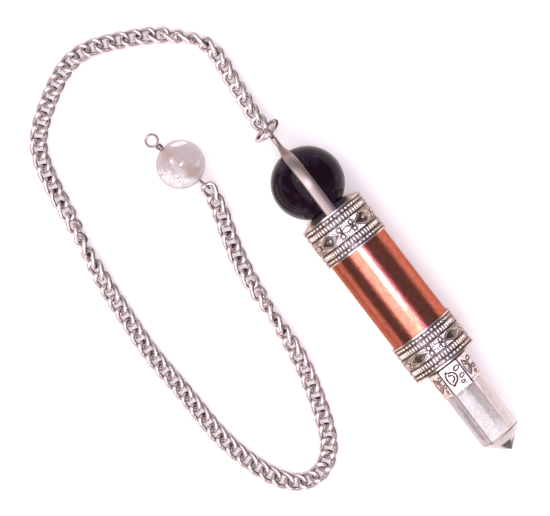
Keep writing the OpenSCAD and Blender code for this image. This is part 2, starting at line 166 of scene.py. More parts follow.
def makeCloudGroup():
    # drifting veils and small flecks, as inside a stone
    tree, given, out = newGroup("stoneClouds", "ShaderNodeTree", {
        "Place": "Vector", "Cloud Size": 4.0, "Edge": 0.55, "Softness": 0.15,
    }, {"Clouds": "Float", "Flecks": "Float"})
    clouds = noise(tree, given["Place"], given["Cloud Size"], {"Detail": 6.0, "Roughness": 0.6, "Distortion": 0.8})
    flecks = addNode(tree, "ShaderNodeTexVoronoi", {"Vector": given["Place"], "Randomness": 1.0,
        "Scale": sums(tree, "MULTIPLY", sums(tree, "DIVIDE", 1.0, given["Cloud Size"]), 5.0)
    }).outputs["Distance"]
    feed(tree, out, {"Clouds": rampRound(tree, clouds, given["Edge"], given["Softness"]),
        "Flecks": ramp(tree, flecks, 0.16, 0.04)})
    return tree


tarnish, handling, stoneClouds = makeTarnishAndShadeGroup(), makeHandlingGroup(), makeCloudGroup()


def placeGroup(tree, group, inputs):
    return addNode(tree, "ShaderNodeGroup", inputs, node_tree=group).outputs


def cloudsIn(tree, place, size, edge, softness):
    return placeGroup(tree, stoneClouds, {"Place": place, "Cloud Size": size, "Edge": edge, "Softness": softness})


def bumpFrom(tree, height, strength, distance):
    return addNode(tree, "ShaderNodeBump", {"Height": height, "Strength": strength,
        "Distance": distance * mm}).outputs["Normal"]


def asideBarrel(tree, place):
    # how far a place is from the barrel's middle line, to either side
    return sums(tree, "ABSOLUTE", sums(tree, "SUBTRACT", split(tree, place, "Y"), barrel["ballMiddle"][1]))


# materials, each with its own look

# sides is a painted shade colour, used low on both sides of the barrel
silverLook = {
    "bright": (0.86, 0.8, 0.83, 1), "sides": (0.76, 0.63, 0.55, 1), "dark": (0.085, 0.052, 0.048, 1),
    "edge": (0.6, 0.5, 0.48, 1), "amount": 0.33, "patches": 1.1, "brightRoughness": 0.22, "darkRoughness": 0.5,
    "scratches": 0.14, "metal": 0.95, "sidesFrom": 1.2, "sidesWhole": 5.0
}
strapColor = (0.4, 0.325, 0.31, 1)
strapLook = {**silverLook, "bright": strapColor, "sides": strapColor, "brightRoughness": 0.42, "scratches": 0.3}
chainLook = {
    "bright": (0.94, 0.825, 0.81, 1), "dark": (0.08, 0.048, 0.052, 1), "edge": (0.3, 0.2, 0.22, 1), "amount": 0.37,
    "patches": 1.6, "brightRoughness": 0.17, "darkRoughness": 0.4, "scratches": 0.2, "metal": 0.75
}
wireLook = {**chainLook, "bright": (0.42, 0.35, 0.345, 1)}


def makeSilver(name, look):
    material, tree, shader = newMaterial(name)
    place = objectPlace(tree)
    bright = look["bright"]
    if "sides" in look:
        # the silver is painted a darker brown low on both sides of the barrel as painted shade, and stays bright on
        # top
        low = ramp(tree, asideBarrel(tree, place), look["sidesFrom"], look["sidesWhole"])
        bright = blend(tree, low, bright, look["sides"])
    worn = placeGroup(tree, tarnish, {"Place": place, "Relief": stored(tree, "relief"), "Bright": bright,
        "Dark": look["dark"], "Amount": look["amount"], "Patch Size": look["patches"],
        "Bright Roughness": look["brightRoughness"], "Dark Roughness": look["darkRoughness"]})
    marks = placeGroup(tree, handling, {"Place": place, "Scratch Size": look["scratches"]})
    feed(tree, shader, {"Base Color": worn["Color"], "Roughness": worn["Roughness"], "Specular Tint": look["edge"],
        "Metallic": ramp(tree, worn["Clean"], 0, 1, 0.65, look["metal"]),
        "Normal": bumpFrom(tree, marks["Height"], 0.25, 0.03)})
    return material


copperLook = {
    "bright": (0.54, 0.16, 0.1, 1), "deep": (0.38, 0.085, 0.06, 1), "edge": (0.58, 0.46, 0.4, 1), "roughness": 0.09,
    "smear": 0.04, "grain": 0.34, "grainDepth": 0.07, "mottle": 0.75, "mottleSize": 0.9, "lacquer": 1.0,
    "lacquerTo": 2.5, "bareFrom": 5.0
}


def makeCopper(look):
    material, tree, shader = newMaterial("polishedCopper")
    place = objectPlace(tree, turn=(0, math.radians(-barrel["slopeDown"]), 0))
    marks = placeGroup(tree, handling, {"Place": place, "Scratch Size": look["grain"], "Smear Size": 3.0,
        "Roughness": look["roughness"], "Smear": look["smear"]})
    patches = cloudsIn(tree, place, look["mottleSize"], 0.5, 0.14)["Clouds"]
    # the lacquer is whole on top and worn off towards both sides
    aside = asideBarrel(tree, objectPlace(tree))
    feed(tree, shader, {
        "Base Color": blend(tree, sums(tree, "MULTIPLY", patches, look["mottle"]), look["bright"], look["deep"]),
        "Metallic": 1.0, "Specular Tint": look["edge"], "Roughness": marks["Roughness"], "Coat Roughness": 0.05,
        "Coat Weight": ramp(tree, aside, look["lacquerTo"], look["bareFrom"], look["lacquer"], 0.0),
        "Normal": bumpFrom(tree, marks["Height"], 0.6, look["grainDepth"])})
    return material


ballLook = {
    "dark": (0.009, 0.003, 0.006, 1), "purple": (0.03, 0.014, 0.034, 1), "glint": (0.3, 0.27, 0.4, 1),
    "roughness": 0.07, "clouds": 3.4, "shine": 0.09, "index": 1.54
}


def makeBallStone(look):
    material, tree, shader = newMaterial("darkPurpleStone")
    place = objectPlace(tree, shift=(3, 1, 2))
    cloud = cloudsIn(tree, place, look["clouds"], 0.6, 0.12)
    marks = placeGroup(tree, handling, {"Place": place, "Scratch Size": 0.6, "Smear Size": 4.0,
        "Roughness": look["roughness"], "Smear": 0.04})
    deep = blend(tree, cloud["Clouds"], look["dark"], look["purple"])
    fleck = sums(tree, "MULTIPLY", cloud["Flecks"], cloud["Clouds"])
    feed(tree, shader, {"Base Color": blend(tree, fleck, deep, look["glint"]), "Roughness": marks["Roughness"],
        "Normal": bumpFrom(tree, marks["Height"], 0.12, 0.05), "IOR": look["index"],
        "Specular IOR Level": look["shine"]})
    return material


quartzLook = {
    "tipShade": (0.12, 0.08, 0.09, 1), "tipFrom": 55.7, "tipWhole": 55.95, "smokyShade": (0.57, 0.44, 0.41, 1),
    "haze": (0.9, 0.86, 0.88, 1), "roughness": 0.015, "frost": 0.45, "index": 1.545
}


def makeQuartz(name, look):
    material, tree, shader = newMaterial(name)
    place = objectPlace(tree)
    clear = (1, 1, 1, 1)
    marks = placeGroup(tree, handling, {"Place": place, "Scratch Size": 0.5, "Smear Size": 3.0,
        "Roughness": look["roughness"], "Smear": 0.012})
    clouds = cloudsIn(tree, place, 5.0, 0.55, 0.25)["Clouds"]
    hazy = blend(tree, sums(tree, "MULTIPLY", clouds, 0.6), clear, look["haze"])
    # the tip is painted darker, as painted shade
    tip = ramp(tree, split(tree, place, "X"), look["tipFrom"], look["tipWhole"])
    color = blend(tree, stored(tree, "clearness"), look["smokyShade"], hazy)
    feed(tree, shader, {
        "Base Color": blend(tree, 1.0, color, blend(tree, tip, clear, look["tipShade"]), "MULTIPLY"),
        "Roughness": sums(tree, "MULTIPLY_ADD", stored(tree, "frosting"), look["frost"], marks["Roughness"]),
        "Normal": bumpFrom(tree, marks["Height"], 0.05, 0.02), "Transmission Weight": 1.0, "IOR": look["index"]})
    return material


def makeVeil(name, color, strength, size, edge=0.5, softness=0.2, glow=0.0):
    # a thin cloud inside the quartz, which is clear where the cloud isn't; the brown and dark ones are sheets of
    # painted shade
    material, tree, shader = newMaterial(name)
    place = objectPlace(tree)
    clouds = cloudsIn(tree, place, size, edge, softness)["Clouds"]
    fine = cloudsIn(tree, place, size * 0.35, 0.5, 0.3)["Clouds"]
    thick = sums(tree, "MULTIPLY", clouds, sums(tree, "MULTIPLY_ADD", fine, 0.6, 0.4))
    thick = sums(tree, "MULTIPLY", thick, stored(tree, "relief"))
    pale = tuple(min(1.0, c * 1.15) for c in color[:3]) + (1,)
    # a little light of its own stands for what is scattered inside the stone
    feed(tree, shader, {
        "Base Color": blend(tree, fine, color, pale), "Alpha": sums(tree, "MULTIPLY", thick, strength),
        "Roughness": 0.5, "Emission Color": color, "Emission Strength": glow})
    return material


heartLook = {
    "haze": (0.6, 0.51, 0.535, 1), "milk": (0.68, 0.59, 0.63, 1), "boreTint": (0.55, 0.42, 0.39, 1),
    "clear": (1.0, 0.99, 1.0, 1), "betweenLines": (0.5, 0.46, 0.5, 1), "rimShade": (0.48, 0.42, 0.44, 1),
    "bore": (1.5, 0.3), "clearSide": (0.579, -0.816, 0), "clearFrom": (1.5, 3.0), "rim": (4.1, 4.45), "glow": 0.36,
    "clearGlow": 0.56, "thickness": (0.8, 0.95), "right": (0.609, 0.793, 0), "up": (-0.793, 0.609, 0),
    "glints": [(-0.25, 3.75, 1.8, 0.45, 0.22), (-1.6, 0.45, 0.3, 0.35, 0.0)],
    "faintGlint": (3.3, 0.1, 0.5, 0.8, 0.0)
}


def makeHeart(look):
    # the milky inside of the bead: hazy and warm along the drilled hole; at one side clear, with fine lines and
    # painted bright white as the lit floor seen through the quartz; it has painted highlights, a painted dark rim and
    # a painted glow of its own
    material, tree, shader = newMaterial("beadHeart")
    place = objectPlace(tree, shift=[-p for p in pin["beadMiddle"]])
    clouds = cloudsIn(tree, place, 2.2, 0.5, 0.3)["Clouds"]

    def reach(direction):
        return addNode(tree, "ShaderNodeVectorMath", {0: place, 1: direction},
            operation="DOT_PRODUCT").outputs["Value"]

    def squares(first, second):
        return sums(tree, "ADD", sums(tree, "POWER", first, 2.0), sums(tree, "POWER", second, 2.0))

    def spot(right, up, halfRight, halfUp, slope):
        # an oval patch seen from above, given from the bead's middle
        across = sums(tree, "SUBTRACT", reach(look["right"]), right)
        upward = sums(tree, "SUBTRACT", reach(look["up"]), up)
        upward = sums(tree, "MULTIPLY_ADD", across, -slope, upward)
        far = squares(sums(tree, "DIVIDE", across, halfRight), sums(tree, "DIVIDE", upward, halfUp))
        return ramp(tree, far, 1.0, 0.5)

    heading = math.radians(pin["heading"])
    fromBore = sums(tree, "ABSOLUTE", reach((-math.sin(heading), math.cos(heading), 0)))
    bore = ramp(tree, fromBore, *look["bore"])
    wavy = sums(tree, "MULTIPLY_ADD", clouds, 0.5, reach(look["clearSide"]))
    fine = cloudsIn(tree, place, 0.9, 0.5, 0.09)["Clouds"]
    lines = ramp(tree, sums(tree, "ABSOLUTE", sums(tree, "SUBTRACT", fine, 0.5)), 0.12, 0.4)
    warm = blend(tree, bore, blend(tree, clouds, look["haze"], look["milk"]), look["boreTint"])
    # painted highlights, as oval spots
    glint = sums(tree, "MAXIMUM", *[spot(*oval) for oval in look["glints"]])
    bright = blend(tree, glint, blend(tree, lines, look["betweenLines"], look["clear"]), look["clear"])
    faint = sums(tree, "MULTIPLY", spot(*look["faintGlint"]), 0.4)
    clear = sums(tree, "MAXIMUM", ramp(tree, wavy, *look["clearFrom"]), glint)
    clear = sums(tree, "MAXIMUM", clear, faint)
    # a painted dark rim near the edge
    rim = ramp(tree, squares(reach(look["right"]), reach(look["up"])), *[far ** 2 for far in look["rim"]])
    color = blend(tree, rim, blend(tree, clear, warm, bright), look["rimShade"])
    clear = sums(tree, "MULTIPLY", clear, sums(tree, "SUBTRACT", 1.0, rim))
    # the heart glows a little, painted light that is brightest on the clear side
    level = ramp(tree, clear, 0, 1, look["glow"], look["clearGlow"])
    glow = addNode(tree, "ShaderNodeVectorMath", {0: color, "Scale": level}, operation="SCALE").outputs["Vector"]
    feed(tree, shader, {"Base Color": color, "Emission Color": glow, "Emission Strength": 1.0, "Roughness": 0.5,
        "Alpha": ramp(tree, bore, 0, 1, *look["thickness"])})
    return material


capSilver, strapSilver = makeSilver("antiqueSilver", silverLook), makeSilver("strapSilver", strapLook)
chainSilver, wireSilver = makeSilver("brightSilver", chainLook), makeSilver("wireSilver", wireLook)
copper = makeCopper(copperLook)
ballStone = makeBallStone(ballLook)
pointQuartz, beadQuartz = makeQuartz("pointQuartz", quartzLook), makeQuartz("beadQuartz", quartzLook)
beadHeart = makeHeart(heartLook)
milkyVeil = makeVeil("milkyVeil", (0.84, 0.81, 0.87, 1), 0.8, 3.0, glow=0.3)
# the brown, side and dark veils are painted shade in the stone
smokyVeil = makeVeil("smokyVeil", (0.44, 0.35, 0.33, 1), 0.68, 6.0, 0.1, 0.3)
duskVeil = makeVeil("duskVeil", (0.36, 0.28, 0.28, 1), 0.85, 6.0, 0.0, 0.25)
shadeVeil = makeVeil("shadeVeil", (0.06, 0.04, 0.05, 1), 0.95, 6.0, -0.2, 0.2)
print("materials made")


# helpers for meshes

def addObject(name, data):
    made = bpy.data.objects.new(name, data)
    scene.collection.objects.link(made)
    return made


def newMesh(name, points, edges=(), faces=()):
    mesh = bpy.data.meshes.new(name)
    mesh.from_pydata(points, edges, faces)
    return mesh


def store(mesh, name, values, domain="POINT"):
    mesh.attributes.new(name, "FLOAT", domain).data.foreach_set("value", np.asarray(values, np.float32))


def reshape(mesh, work):
    shape = bmesh.new()
    shape.from_mesh(mesh)
    work(shape)
    shape.to_mesh(mesh)
    shape.free()


def makePiece(name, points, faces, finish, relief=None, place=None, sharp=None):
    points = np.asarray(points, float)
    if place is not None:
        turn = np.array(place)
        points = points @ turn[:3, :3].T + turn[:3, 3]
    mesh = newMesh(name, (points * mm).tolist(), [], [list(map(int, f)) for f in faces])
    mesh.validate()
    if relief is not None:
        store(mesh, "relief", relief)
    mesh.shade_smooth()
    if sharp:
        mesh.set_sharp_from_angle(angle=math.radians(sharp))
    mesh.materials.append(finish)
    return addObject(name, mesh)


def gridFaces(rows, columns, closeRows=False, closeColumns=False):
    down, across = np.meshgrid(np.arange(rows if closeRows else rows - 1),
        np.arange(columns if closeColumns else columns - 1), indexing="ij")
    nextDown, nextAcross = (down + 1) % rows, (across + 1) % columns
    return np.stack([down * columns + across, down * columns + nextAcross,
        nextDown * columns + nextAcross, nextDown * columns + across], -1).reshape(-1, 4)


def turnOutward(piece):
    # closed shells only: makes every face point out
    reshape(piece.data, lambda shape: bmesh.ops.recalc_face_normals(shape, faces=shape.faces))
    return piece


def lathe(name, profile, finish, steps=256, relief=None, place=onBarrel, sharp=35):
    # a closed profile of (x, radius) turned about the X axis
    profile = np.asarray(profile, float)
    angle = np.linspace(0, 2 * math.pi, steps, endpoint=False)
    x, radius = np.repeat(profile[:, :1], steps, 1), profile[:, 1:]
    points = np.stack([x, radius * np.sin(angle), radius * np.cos(angle)], -1).reshape(-1, 3)
    if relief is not None:
        relief = np.repeat(relief, steps)
    faces = gridFaces(len(profile), steps, True, True)
    return turnOutward(makePiece(name, points, faces, finish, relief, place, sharp))


def arc(radius, start, end, count, middle=(0, 0)):
    return [(middle[0] + radius * math.cos(a), middle[1] + radius * math.sin(a))
        for a in np.linspace(start, end, count)]


def fullOval(t, halfX, halfY, fullness):
    # a point of an oval, which is squarer the smaller its fullness is
    c, s = math.cos(t), math.sin(t)
    return halfX * math.copysign(abs(c) ** fullness, c), halfY * math.copysign(abs(s) ** fullness, s)


def smooth(low, high, value):
    t = np.clip((value - low) / (high - low), 0, 1)
    return t * t * (3 - 2 * t)


def finishPiece(piece, slot, *nodes):
    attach(piece, "root")
    if nodes:
        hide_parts(*nodes)
    return piece


wireSideShade = {"lean": 0.7, "from": 0.05, "whole": 0.7, "least": 0.1}


def paintWireSideShade(piece):
    # the wire is painted dark on its sides and underside, most on the side facing +Y, as painted shade
    facing = [float(smooth(wireSideShade["from"], wireSideShade["whole"], v.normal.z - wireSideShade["lean"] * v.normal.y))
        for v in piece.data.vertices]
    store(piece.data, "relief", [wireSideShade["least"] + (1 - wireSideShade["least"]) * f for f in facing])


def growWith(piece, tree, values):
    live = piece.modifiers.new("pattern", "NODES")
    live.node_group = tree
    names = {item.name: item.identifier for item in tree.interface.items_tree if item.in_out == "INPUT"}
    for name, value in values.items():
        live[names[name]] = value
    # the live result becomes a plain mesh, and the modifier goes
    graph = bpy.context.evaluated_depsgraph_get()
    mesh = bpy.data.meshes.new_from_object(piece.evaluated_get(graph), preserve_all_data_layers=True,
        depsgraph=graph)
    mesh.name = piece.name
    piece.modifiers.clear()
    piece.data = mesh
    mesh.shade_smooth()
    return piece


# geometry node trees

def newGeometryTree(name, inputs):
    return newGroup(name, "GeometryNodeTree", {"Geometry": "Geometry", **inputs, "Finish": "Material"},
        {"Geometry": "Geometry"})


def endTree(tree, given, out, geometry):
    real = addNode(tree, "GeometryNodeRealizeInstances", {"Geometry": geometry})
    finished = addNode(tree, "GeometryNodeSetMaterial", {"Geometry": real.outputs[0], "Material": given["Finish"]})
    feed(tree, out, {"Geometry": finished.outputs[0]})
    return tree


def placeCopies(tree, points, motif, turn):
    rotation = addNode(tree, "FunctionNodeEulerToRotation", {0: turn}).outputs[0]
    return addNode(tree, "GeometryNodeInstanceOnPoints", {"Points": points, "Instance": motif,
        "Rotation": rotation}).outputs[0]


def wireRound(tree, given, mesh, caps):
    # a round wire along every edge path of a mesh
    path = addNode(tree, "GeometryNodeMeshToCurve", {"Mesh": mesh})
    section = addNode(tree, "GeometryNodeCurvePrimitiveCircle", {"Resolution": given["Sides"],
        "Radius": sums(tree, "DIVIDE", given["Wire"], 2.0)})
    return addNode(tree, "GeometryNodeCurveToMesh", {"Curve": path.outputs[0],
        "Profile Curve": section.outputs[0], "Fill Caps": caps}).outputs[0]


def makeCopiesTree():
    # copies of one motif turned round the X axis
    tree, given, out = newGeometryTree("copiesRound", {"Motif": "Object", "Copies": 12, "First Angle": 0.0})
    motif = addNode(tree, "GeometryNodeObjectInfo", {"Object": given["Motif"]}).outputs["Geometry"]
    points = addNode(tree, "GeometryNodePoints", {"Count": given["Copies"]}).outputs[0]
    index = addNode(tree, "GeometryNodeInputIndex").outputs[0]
    step = sums(tree, "DIVIDE", 2 * math.pi, given["Copies"])
    angle = sums(tree, "MULTIPLY_ADD", index, step, given["First Angle"])
    turn = addNode(tree, "ShaderNodeCombineXYZ", {"X": sums(tree, "MULTIPLY", angle, -1.0)}).outputs[0]
    return endTree(tree, given, out, placeCopies(tree, points, motif, turn))


def makeWireTree():
    tree, given, out = newGeometryTree("wireOnPath", {"Wire": 0.0005, "Sides": 12})
    return endTree(tree, given, out, wireRound(tree, given, given["Geometry"], True))


def makeChainTree():
    # one link of round wire at each point, turned by the point's linkTurn
    tree, given, out = newGeometryTree("chainLinks", {"Link Path": "Object", "Wire": 0.00075, "Sides": 10})
    path = addNode(tree, "GeometryNodeObjectInfo", {"Object": given["Link Path"]}).outputs["Geometry"]
    turn = addNode(tree, "GeometryNodeInputNamedAttribute", {"Name": "linkTurn"}, data_type="FLOAT_VECTOR").outputs[0]
    return endTree(tree, given, out,
        placeCopies(tree, given["Geometry"], wireRound(tree, given, path, False), turn))


copiesRound, wireOnPath, chainLinks = makeCopiesTree(), makeWireTree(), makeChainTree()


def copiesOf(name, motif, copies, firstAngle):
    # silver copies of a motif round the barrel, in place of the motif
    piece = growWith(addObject(name, newMesh(name, [])), copiesRound, {
        "Motif": motif, "Copies": copies, "First Angle": math.radians(firstAngle), "Finish": capSilver})
    bpy.data.objects.remove(motif)
    move = onBarrel.copy()
    move.translation *= mm
    piece.data.transform(move)
    # neighbours share the corners where they meet
    reshape(piece.data, lambda shape: bmesh.ops.remove_doubles(shape, verts=shape.verts, dist=0.002 * mm))
    return piece


def joined(name, pieces):
    mesh = newMesh(name, [])
    reshape(mesh, lambda shape: [shape.from_mesh(piece.data) for piece in pieces])
    mesh.materials.append(pieces[0].data.materials[0])
    for piece in pieces:
        bpy.data.objects.remove(piece)
    mesh.shade_smooth()
    return addObject(name, mesh)


# the embossed bands

band = {
    "root": 6.7, "lip": 6.9, "sleeve": 6.4, "lipWidth": 0.35, "dotRow": 0.7, "ribRow": 1.2, "groove": 0.15,
    "relief": 0.2, "repeats": 5, "bossRoot": 6.66, "bossRings": 4, "bossSpokes": 12,
    "dot": {"count": 46, "share": 0.43, "height": 0.24, "fullness": 0.8},
    "rib": {"count": 60, "share": 0.39, "height": 0.22, "fullness": 0.5}
}


def bossMotif(name, x, width, look):
    # a rounded dot or rib on top of the band
    rings, spokes, root, height = band["bossRings"], band["bossSpokes"], band["bossRoot"], look["height"]
    halfRound = 2 * math.pi * band["root"] / look["count"] * look["share"]
    points, relief = [(x, 0, root + height)], [1.0]
    for ring in range(1, rings + 1):
        reach = ring / rings
        up = height * (1 - reach ** 2.6)
        radius = root + up - (0.05 if ring == rings else 0)
        for spoke in range(spokes):
            along, around = fullOval(2 * math.pi * spoke / spokes, width * 0.5 * reach, halfRound * reach,
                look["fullness"])
            points.append((x + along, radius * math.sin(around / root), radius * math.cos(around / root)))
            relief.append(0.15 + 0.85 * up / height)
    faces = [[0, 1 + (spoke + 1) % spokes, 1 + spoke] for spoke in range(spokes)]
    faces += (gridFaces(rings, spokes, False, True) + 1).tolist()
    return makePiece(name, points, faces, capSilver, relief)


# heights are parts of the band's relief; sizes are parts of a repeat or of the width, or millimetres
frieze = {
    "steps": 132, "rows": 50, "lozengeLong": 0.34, "lozengeWide": 0.94, "frame": 0.95, "floor": 0.05, "dish": 0.2,
    "stain": 0.27, "field": 0.62, "ribPitch": 0.44, "ribs": (0.16, 0.24), "leafLong": 1.15, "leafWide": 0.15,
    "leaf": 0.92, "moat": 0.15, "dotsAround": 0.325, "dotsAlong": 0.23, "dot": 0.41, "dotMoat": (0.5, 0.6),
    "foot": 0.35
}


def friezeHeight(around, along, width, pearl):
    # around and along in millimetres from a lozenge's middle; the result is 0 at the band's root and 1 at its top
    look = frieze
    repeat = 2 * math.pi * band["root"] / band["repeats"]
    halfLong, halfWide = look["lozengeLong"] * repeat, width / 2 * look["lozengeWide"]
    slope = halfLong * halfWide / math.hypot(halfLong, halfWide)
    edge = (np.abs(around) / halfLong + np.abs(along) / halfWide - 1) * slope
    frameRise = smooth(-0.3, -0.2, edge) * (1 - smooth(-0.06, 0.04, edge))
    inside = 1 - smooth(-0.34, -0.24, edge)
    height = look["frame"] * frameRise - look["floor"] * inside - look["dish"] * (1 - smooth(-1.0, -0.25, edge))
    stain = look["stain"] * inside * (0.75 + 0.5 * around / halfLong)
    if pearl:
        fromPearl = np.hypot(around, along)
        height = np.maximum(height, np.sqrt(np.clip(1 - (fromPearl / pearl) ** 2, 0, 1)))
        stain *= smooth(pearl, pearl + 0.1, fromPearl)
    # the field round the lozenges, with short ribs along both edges of the frieze
    ribs = 0.5 + 0.5 * np.cos(2 * math.pi * around / look["ribPitch"])
    ribbed = smooth(width * look["ribs"][0], width * look["ribs"][1], np.abs(along)) * smooth(0.1, 0.2, edge)
    height += smooth(0.04, 0.12, edge) * (look["field"] + ribbed * (ribs * 0.5 - 0.35))
    # a leaf lies across each join between two lozenges
    border = np.abs(np.abs(around) - repeat / 2)
    leafEdge = (border / look["leafLong"]) ** 1.4 + (np.abs(along) / (width * look["leafWide"])) ** 1.6
    leaf = 1 - smooth(0.62, 0.9, leafEdge)
    moat = smooth(0.9, 1.05, leafEdge) * (1 - smooth(1.35, 1.7, leafEdge))
    height = height * (1 - moat) - look["moat"] * moat
    height = height * (1 - leaf) + look["leaf"] * leaf
    # pairs of dots at the lozenge's points, each in a ring
    for side in (-1, 1):
        for row in (-1, 1):
            away = np.hypot(around - side * look["dotsAround"] * repeat, along - row * width * look["dotsAlong"])
            ringed = 1 - smooth(*look["dotMoat"], away)
            height = height * (1 - ringed) - 0.1 * ringed
            dome = np.sqrt(np.clip(1 - (away / look["dot"]) ** 2, 0, 1))
            height = np.maximum(height, dome - 0.05 * ringed)
    return height, stain


def friezeMotif(name, x, width, pearl):
    steps, rows, halfTurn = frieze["steps"], frieze["rows"], math.pi / band["repeats"]
    angles, places = np.meshgrid(np.linspace(-halfTurn, halfTurn, steps + 1),
        np.linspace(-width / 2, width / 2, rows + 1), indexing="ij")
    height, stain = friezeHeight(angles * band["root"], places, width, pearl)
    margin = smooth(0, 0.1, width / 2 - np.abs(places))
    height = height * margin - frieze["foot"] * (1 - margin)
    radius = band["root"] + band["relief"] * height
    points = np.stack([x + width / 2 + places, radius * np.sin(angles), radius * np.cos(angles)], -1)
    faces = gridFaces(steps + 1, rows + 1)[:, ::-1]
    return makePiece(name, points.reshape(-1, 3), faces, capSilver, (height + stain).ravel())


def makeBand(name, look, cap):
    start, length = look["start"], look["length"]
    lip, dotRow, ribRow, groove = band["lipWidth"], band["dotRow"], band["ribRow"], band["groove"]
    dotAt, ribAt = lip + groove, lip + 2 * groove + dotRow
    friezeAt = lip + 3 * groove + dotRow + ribRow
    width = length - 2 * friezeAt
    root, low, top, inner = band["root"] - 0.04, band["root"] - 0.13, band["lip"], band["sleeve"]
    # half of the sleeve's outline: how far along, radius, and how high it counts in the relief
    half = [(0, inner, 0.2), (0, top - 0.1, 0.7), (0.03, top - 0.03, 1), (0.09, top, 1), (lip - 0.09, top, 1),
        (lip - 0.03, top - 0.03, 1), (lip, top - 0.1, 0.6), (lip + 0.04, low, 0), (dotAt - 0.04, low, 0),
        (dotAt, root, 0.2), (dotAt + dotRow, root, 0.2), (dotAt + dotRow + 0.04, low, 0.05),
        (ribAt - 0.04, low, 0.05), (ribAt, root, 0.2), (ribAt + ribRow, root, 0.2),
        (ribAt + ribRow + 0.04, low, 0), (friezeAt, low, 0)]
    outline = [(start + x, r, k) for x, r, k in half]
    outline += [(start + length - x, r, k) for x, r, k in reversed(half)]
    pieces = [lathe(name + "Sleeve", [p[:2] for p in outline], capSilver, relief=[p[2] for p in outline])]
    for end in (0, 1):
        for kind, begin, wide in (("Dot", dotAt, dotRow), ("Rib", ribAt, ribRow)):
            boss = band[kind.lower()]
            x = start + begin + wide / 2 if end == 0 else start + length - begin - wide / 2
            motif = bossMotif(f"{name}{kind}{end}", x, wide, boss)
            pieces.append(copiesOf(f"{name}{kind}s{end}", motif, boss["count"], look["turn"]))
    motif = friezeMotif(name + "Frieze", start + friezeAt, width, look["pearl"])
    pieces.append(copiesOf(name + "Friezes", motif, band["repeats"], look["turn"]))
    pieces.append(lathe(name + "Cap", cap, capSilver, relief=[0.55] * len(cap)))
    return joined(name, pieces)


ball = {"radius": 7.25, "seat": 7.35, "rings": 96, "pole": 0.004}
upper = {"start": 7.25, "length": 8.6, "turn": 40, "pearl": 0.34, "crownX": 6.25, "crownRadius": 4.22, "floor": 8.25}
lower = {"start": 35.85, "length": 7.9, "turn": -33, "pearl": 0.0, "floor": 42.75}
capRadius, capBore = 6.55, 0.15
crownCap = arc(ball["seat"], 0.02, math.acos(upper["crownX"] / ball["seat"]), 10)
crownCap += [(upper["crownX"], upper["crownRadius"] - 0.06), (upper["crownX"] + 0.04, upper["crownRadius"]),
    (upper["start"] - 0.04, capRadius - 0.05), (upper["start"], capRadius), (upper["floor"], capRadius),
    (upper["floor"], capBore)]
lowerEnd = lower["start"] + lower["length"]
lowerCap = [(lower["floor"], capBore), (lower["floor"], capRadius), (lowerEnd - 0.03, capRadius),
    (lowerEnd, capRadius - 0.05), (lowerEnd, capBore)]
bailBand = finishPiece(makeBand("bailBand", upper, crownCap), "cap_silver", "bail_cap")
socketBand = finishPiece(makeBand("socketBand", lower, lowerCap), "cap_silver", "point_socket")
print("bands made:", len(bailBand.data.polygons), len(socketBand.data.polygons), "faces")


# the strap bail: one strip from the cap over the ball, round the eye and back under the ball

strap = {
    "width": 2.3, "neck": 1.0, "thick": 0.55, "radius": 7.625, "flareRadius": 4.0, "foot": (7.95, 6.15),
    "leave": 78.4, "flare": 158.56, "eyeX": -12.12, "eyeRadius": 1.075, "eyeGap": 14, "narrowFrom": -5.7,
    "section": [(-0.5, -0.9), (-0.5, 0.2), (-0.46, 0.7), (-0.38, 0.9), (-0.22, 1), (-0.02, 0.98), (0.14, 0.86),
    (0.28, 0.6), (0.42, 0.2), (0.5, -0.3), (0.5, -0.9), (0.42, -1), (-0.42, -1)]
}


def makeStrap(look):
    leave, flare, gap = (math.radians(look[key]) for key in ("leave", "flare", "eyeGap"))
    reach = look["radius"] + look["flareRadius"]
    turnX, turnZ = reach * math.cos(flare), reach * math.sin(flare)
    over = [look["foot"]] + arc(look["radius"], leave, flare, 40)
    over += arc(look["flareRadius"], flare - math.pi, -math.pi / 2, 14, (turnX, turnZ))[1:]
    eye = arc(look["eyeRadius"], gap, 2 * math.pi - gap, 40, (look["eyeX"], 0))
    line = np.array(over + eye + [(x, -z) for x, z in reversed(over)])
    along = np.gradient(line, axis=0)
    along /= np.linalg.norm(along, axis=1)[:, None]
    outward = np.stack([-along[:, 1], along[:, 0]], -1)
    outward *= np.sign(look["foot"][1] * outward[0, 1])
    widths = look["neck"] + (look["width"] - look["neck"]) * smooth(turnX + 1.6, look["narrowFrom"], line[:, 0])
    half = look["thick"] / 2
    points, relief = [], []
    for (x, z), out, width in zip(line, outward, widths):
        for across, lift in look["section"]:
            points.append((x + out[0] * lift * half, across * width, z + out[1] * lift * half))
            relief.append(1.0 if lift > 0.5 else 0.75 if lift > 0 else 0.4)
    rows, columns = len(line), len(look["section"])
    faces = gridFaces(rows, columns, False, True).tolist()
    faces += [list(range(columns)), list(range((rows - 1) * columns, rows * columns))]
    return turnOutward(makePiece("strapBail", points, faces, strapSilver, relief, onBarrel, 50))


finishPiece(makeStrap(strap), "cap_silver", "bail_cap")


# the ball, the tube and the socket

ballProfile = arc(ball["radius"], ball["pole"], math.pi - ball["pole"], ball["rings"])
finishPiece(lathe("stoneBall", ballProfile, ballStone, 160, sharp=None), "dark_stone", "ball_stone")
tube = {"from": 8.3, "to": 42.7, "radius": 6.35, "wall": 1.0, "edge": 0.12}
inside, rounded = tube["radius"] - tube["wall"], tube["radius"] - tube["edge"]
tubeProfile = [(tube["from"], inside), (tube["from"], rounded), (tube["from"] + tube["edge"], tube["radius"]),
    (tube["to"] - tube["edge"], tube["radius"]), (tube["to"], rounded), (tube["to"], inside)]
finishPiece(lathe("copperTube", tubeProfile, copper, 320), "copper", "copper_tube")

